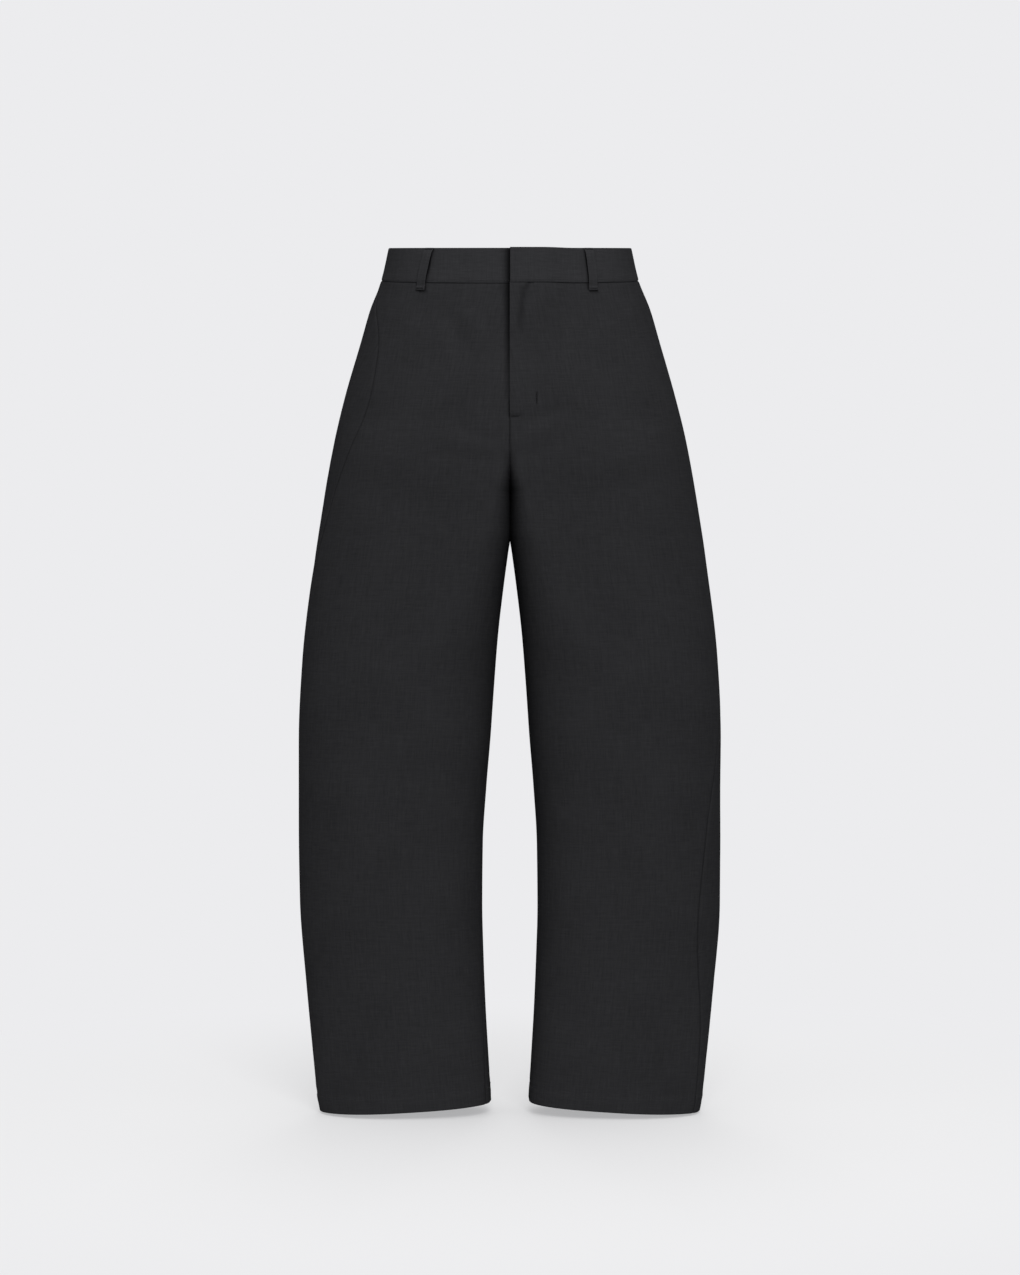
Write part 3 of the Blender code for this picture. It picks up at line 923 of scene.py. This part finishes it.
def stitchTree(material):
    tree = bpy.data.node_groups.new("stitchesAlongPath", "GeometryNodeTree")
    addSocket(tree, "Geometry", "NodeSocketGeometry")
    for name, value in (("spacing", 0.0032), ("length", 0.0024), ("radius", 0.0003)):
        addSocket(tree, name, "NodeSocketFloat", value=value)
    addSocket(tree, "Geometry", "NodeSocketGeometry", "OUTPUT")
    new, link = tree.nodes.new, tree.links.new
    given, result = new("NodeGroupInput"), new("NodeGroupOutput")
    points = new("GeometryNodeCurveToPoints")
    points.mode = "LENGTH"
    ball = new("GeometryNodeMeshUVSphere")
    ball.inputs["Segments"].default_value = 7
    ball.inputs["Rings"].default_value = 6
    ball.inputs["Radius"].default_value = 1.0
    size, halfLength = new("ShaderNodeCombineXYZ"), new("ShaderNodeMath")
    halfLength.operation = "MULTIPLY"
    halfLength.inputs[1].default_value = 0.5
    turn, setOut = new("FunctionNodeAlignRotationToVector"), new("GeometryNodeInstanceOnPoints")
    turn.axis = "Z"
    solid, paint = new("GeometryNodeRealizeInstances"), new("GeometryNodeSetMaterial")
    paint.inputs["Material"].default_value = material
    link(given.outputs["Geometry"], points.inputs["Curve"])
    link(given.outputs["spacing"], points.inputs["Length"])
    link(given.outputs["length"], halfLength.inputs[0])
    link(given.outputs["radius"], size.inputs[0])
    link(given.outputs["radius"], size.inputs[1])
    link(halfLength.outputs[0], size.inputs[2])
    link(points.outputs["Tangent"], turn.inputs["Vector"])
    link(points.outputs["Points"], setOut.inputs["Points"])
    link(ball.outputs["Mesh"], setOut.inputs["Instance"])
    link(turn.outputs[0], setOut.inputs["Rotation"])
    link(size.outputs[0], setOut.inputs["Scale"])
    link(setOut.outputs[0], solid.inputs[0])
    link(solid.outputs[0], paint.inputs["Geometry"])
    link(paint.outputs[0], result.inputs[0])
    return tree


def threadTree(material):
    tree = bpy.data.node_groups.new("threadAlongPath", "GeometryNodeTree")
    addSocket(tree, "Geometry", "NodeSocketGeometry")
    addSocket(tree, "radius", "NodeSocketFloat", value=0.0002)
    addSocket(tree, "Geometry", "NodeSocketGeometry", "OUTPUT")
    new, link = tree.nodes.new, tree.links.new
    given, result = new("NodeGroupInput"), new("NodeGroupOutput")
    ring, sweep = new("GeometryNodeCurvePrimitiveCircle"), new("GeometryNodeCurveToMesh")
    ring.inputs["Resolution"].default_value = 6
    sweep.inputs["Fill Caps"].default_value = True
    solid, paint = new("GeometryNodeRealizeInstances"), new("GeometryNodeSetMaterial")
    paint.inputs["Material"].default_value = material
    link(given.outputs["Geometry"], sweep.inputs["Curve"])
    link(given.outputs["radius"], ring.inputs["Radius"])
    link(ring.outputs["Curve"], sweep.inputs["Profile Curve"])
    link(sweep.outputs[0], solid.inputs[0])
    link(solid.outputs[0], paint.inputs["Geometry"])
    link(paint.outputs[0], result.inputs[0])
    return tree


def pathObject(name, paths):
    # Each path is a list of points in mm.
    curve = bpy.data.curves.new(name, "CURVE")
    curve.dimensions = "3D"
    for path in paths:
        path = np.asarray(path, float) * mm
        line = curve.splines.new("POLY")
        line.points.add(len(path) - 1)
        line.points.foreach_set("co", np.column_stack((path, np.ones(len(path)))).ravel())
    made = bpy.data.objects.new(name, curve)
    bpy.context.scene.collection.objects.link(made)
    return made


def alongPaths(name, paths, tree, sizes, slotName="cloth"):
    # Runs a node tree over paths and keeps its result as a plain mesh.
    guide = pathObject(name + "Path", paths)
    nodes = guide.modifiers.new("nodes", "NODES")
    nodes.node_group = tree
    for socket in tree.interface.items_tree:
        if socket.in_out == "INPUT" and socket.name in sizes:
            nodes[socket.identifier] = sizes[socket.name]
    graph = bpy.context.evaluated_depsgraph_get()
    mesh = bpy.data.meshes.new_from_object(guide.evaluated_get(graph))
    mesh.name = name
    mesh.shade_smooth()
    guide.modifiers.remove(nodes)
    bpy.data.objects.remove(guide)
    piece = bpy.data.objects.new(name, mesh)
    bpy.context.scene.collection.objects.link(piece)
    finishPiece(piece, slotName)
    return piece


def mirrorPath(path, side):
    return np.asarray(path) * (1 if side == "left" else -1, 1, 1)


stitching = {
    "hem": {"spacing": 0.0034, "length": 0.0026, "radius": 0.00026},
    "fly": {"spacing": 0.0030, "length": 0.0024, "radius": 0.00028},
    "band": {"spacing": 0.0030, "length": 0.0023, "radius": 0.00024},
    "tackThread": 0.00024,
}
runStitches, runThread = stitchTree(thread), threadTree(thread)


def panelNamed(name):
    return next(dict(zip(panels["columns"], row)) for row in panels["rows"] if row[0] == name)


def faceLift(panel, level, arc):
    # The height of a panel's outer face at one place.
    start, _, end = panelEdges(level, panel["side"], panel["onBack"])
    return panelLift(panel, level, np.array([float(arc)]), start, end)


def pathOn(panel, places, extra):
    points = [place(level, [arc], faceLift(panel, level, arc) + extra)[0][0] for level, arc in places]
    return mirrorPath(points, panel["side"])


def hemPaths():
    level = garment["hem"] + garment["hemDepth"] - 1
    for row in panels["rows"]:
        panel = dict(zip(panels["columns"], row))
        start, _, end = panelEdges(level, panel["side"], panel["onBack"])
        arcs = np.linspace(start, end, 70)[1:-1]
        yield pathOn(panel, [(level, arc) for arc in arcs], 0.0)


def flyPath():
    levels = np.concatenate((np.linspace(-21, -146, 60), -146 - 35.3 * np.sin(np.linspace(0, 1.5, 24))))
    return pathOn(panelNamed("frontLeft"), [(level, flyLine(level)) for level in levels], 0.0)


def bandPaths():
    # A row of edge stitches just over the waist seam.
    level = garment["bandSeam"] + 2.6
    for side in ("right", "left"):
        arcs = np.linspace(1.5, section(level)[1][-1] - 1, 220)
        lift = waistband["proud"] + 0.02 + (lap(level, arcs) if side == "left" else 0 * arcs)
        lift = lift + 0.18 * np.sin(arcs / 23 + 1.1) * np.sin((level + 4) / 9) + 0.1 * np.sin(arcs / 9)
        yield mirrorPath(place(level, arcs, lift)[0], side)


def zigzag(count, long, wide):
    # Steps along and across a bar tack, in mm.
    along = np.linspace(0, long, count)
    return along, wide / 2 * np.where(np.arange(count) % 2, 1, -1)


def flyTacks():
    panel = panelNamed("frontLeft")
    along, across = zigzag(26, 9, 1.9)
    foot = [(-181.2 + c, 1.2 + a) for a, c in zip(along, across)]
    along, across = zigzag(34, 15, 1.7)
    upright = [(-151 - a, 30.6 + c) for a, c in zip(along, across)]
    return [pathOn(panel, places, 0.2) for places in (foot, upright)]


def loopTacks():
    for row in beltLoops["rows"]:
        loop = dict(zip(beltLoops["columns"], row))
        _, end, middleAt = loopPath(loop)
        for level, wide in ((end + 2.0, 1.5), (garment["bandTop"] - 2.4, 1.2)):
            along, across = zigzag(24, loopLook["wide"] - 1.6, wide)
            middle = middleAt(level)
            top = read(archAt["clear"], level) + read(archAt["thick"], level)
            points = [
                place(level + c, [middle + a - along[-1] / 2], [top + 0.2])[0][0]
                for a, c in zip(along, across)
            ]
            yield mirrorPath(points, loop["side"])


alongPaths("hemStitches", list(hemPaths()), runStitches, stitching["hem"])
alongPaths("flyStitches", [flyPath()], runStitches, stitching["fly"])
alongPaths("waistStitches", list(bandPaths()), runStitches, stitching["band"])
alongPaths("flyTacks", flyTacks(), runThread, {"radius": stitching["tackThread"]})
alongPaths("loopTacks", list(loopTacks()), runThread, {"radius": stitching["tackThread"]})
print("stitches made")

# The closed zip behind the fly keeps its solid as tape and gets its teeth.
zipLook = {"arc": 7.5, "depth": -2.9, "top": -24, "foot": -172, "spacing": 0.0021, "tooth": 0.0042}


def zipTeeth():
    levels = np.linspace(zipLook["top"], zipLook["foot"], 60)
    path = [place(level, [zipLook["arc"]], [zipLook["depth"] - 0.3])[0][0] for level in levels]
    sizes = {"spacing": zipLook["spacing"], "length": 0.0013, "radius": zipLook["tooth"] / 2}
    alongPaths("zipTeeth", [path], stitchTree(tape), sizes, "zip")


def dressNode(name, material):
    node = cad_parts[name]
    node.data.materials.clear()
    node.data.materials.append(material)


zipTeeth()
dressNode("zip", tape)
dressNode("waist_hook", steel)
dressNode("waist_bar", steel)
print("closure made")

# Studio: a pale floor just under the hems, a bright surround and soft light from the front.
studio = {
    "surround": (0.839, 0.839, 0.855, 1), "ambient": 0.62,
    "floorDrop": 0.008, "floorSize": 14, "floorShade": 0.5, "floorLit": 0.52, "floorReach": 1.4,
    "distance": 2.8, "eyeLevel": -0.494, "scale": 0.00119, "photoTall": 1275, "waistRow": 248,
}


def buildFloor():
    size = studio["floorSize"] / 2
    z = (garment["hem"]) * mm - studio["floorDrop"]
    mesh = bpy.data.meshes.new("floor")
    corners = [(-size, -size, z), (size, -size, z), (size, size, z), (-size, size, z)]
    mesh.from_pydata(corners, [], [(0, 1, 2, 3)])
    floor = bpy.data.objects.new("floor", mesh)
    bpy.context.scene.collection.objects.link(floor)
    shade = Shade("paleFloor")
    spot = shade.node("ShaderNodeTexCoord")
    far = shade.node("ShaderNodeVectorMath", {"operation": "LENGTH"}, {
        0: Value(shade, spot.outputs["Object"]),
    })
    near = shade.node("ShaderNodeMapRange", {"interpolation_type": "SMOOTHSTEP"}, {
        0: Value(shade, far.outputs["Value"]), 1: studio["floorReach"], 2: 1.0,
    })
    # Only the floor near the trousers takes light and shadow. The rest glows like the surround,
    # and neither glow lights the cloth.
    near = Value(shade, near.outputs[0])
    matt = shade.mixColours(near, (0, 0, 0, 1), (studio["floorShade"],) * 3 + (1,))
    dimmed = tuple(studio["floorLit"] * c for c in studio["surround"][:3])
    dimmed = tuple(c - d for c, d in zip(studio["surround"], dimmed)) + (1,)
    glow = shade.mixColours(near, studio["surround"], dimmed)
    seen = Value(shade, shade.node("ShaderNodeLightPath").outputs["Is Camera Ray"])
    glow = shade.mixColours(seen, (0, 0, 0, 1), glow)
    surface = shade.surface.inputs
    shade.feed(surface["Base Color"], matt)
    shade.feed(surface["Emission Color"], glow)
    surface["Emission Strength"].default_value = 1
    surface["Specular IOR Level"].default_value = 0
    surface["Roughness"].default_value = 1
    mesh.materials.append(shade.material)


def buildWorld():
    world = bpy.data.worlds.new("surround")
    bpy.context.scene.world = world
    world.use_nodes = True
    nodes, link = world.node_tree.nodes, world.node_tree.links.new
    seen = nodes["Background"]
    seen.inputs[0].default_value = studio["surround"]
    lighting = nodes.new("ShaderNodeBackground")
    lighting.inputs[0].default_value = (1, 1, 1, 1)
    lighting.inputs[1].default_value = studio["ambient"]
    ray, mix = nodes.new("ShaderNodeLightPath"), nodes.new("ShaderNodeMixShader")
    link(ray.outputs["Is Camera Ray"], mix.inputs[0])
    link(lighting.outputs[0], mix.inputs[1])
    link(seen.outputs[0], mix.inputs[2])
    link(mix.outputs[0], nodes["World Output"].inputs[0])


lamps = {
    "columns": ("name", "x", "y", "z", "size", "power"),
    "rows": (
        ("frontSoftbox", 0.28, -2.6, 1.0, 1.2, 42),
        ("backSoftbox", 0.0, 2.7, 0.75, 1.5, 20),
    ),
}


def buildLamps():
    for row in lamps["rows"]:
        lamp = dict(zip(lamps["columns"], row))
        light = bpy.data.lights.new(lamp["name"], "AREA")
        light.size = lamp["size"]
        light.energy = lamp["power"]
        made = bpy.data.objects.new(lamp["name"], light)
        bpy.context.scene.collection.objects.link(made)
        made.location = (lamp["x"], lamp["y"], lamp["z"])
        aim = np.array((0, 0, -0.45)) - np.array(made.location)
        made.rotation_euler = (math.atan2(np.hypot(aim[0], aim[1]), -aim[2]), 0, math.atan2(-aim[0], aim[1]))


def buildCamera():
    # Level with the middle of the legs, at the distance that gives the photo's waist and hems.
    lens = bpy.data.cameras.new("camera")
    tall = studio["photoTall"] * studio["scale"]
    lens.sensor_width = 36
    lens.lens = 36 * studio["distance"] / tall
    middleRow = studio["photoTall"] / 2
    middle = garment["bandTop"] * mm - (middleRow - studio["waistRow"]) * studio["scale"]
    lens.shift_y = (middle - studio["eyeLevel"]) / tall
    camera = bpy.data.objects.new("camera", lens)
    bpy.context.scene.collection.objects.link(camera)
    camera.location = (0, -studio["distance"], studio["eyeLevel"])
    camera.rotation_euler = (math.pi / 2, 0, 0)
    bpy.context.scene.camera = camera


buildFloor()
buildWorld()
buildLamps()
buildCamera()
bpy.context.scene.view_settings.view_transform = "Standard"
print("studio made")
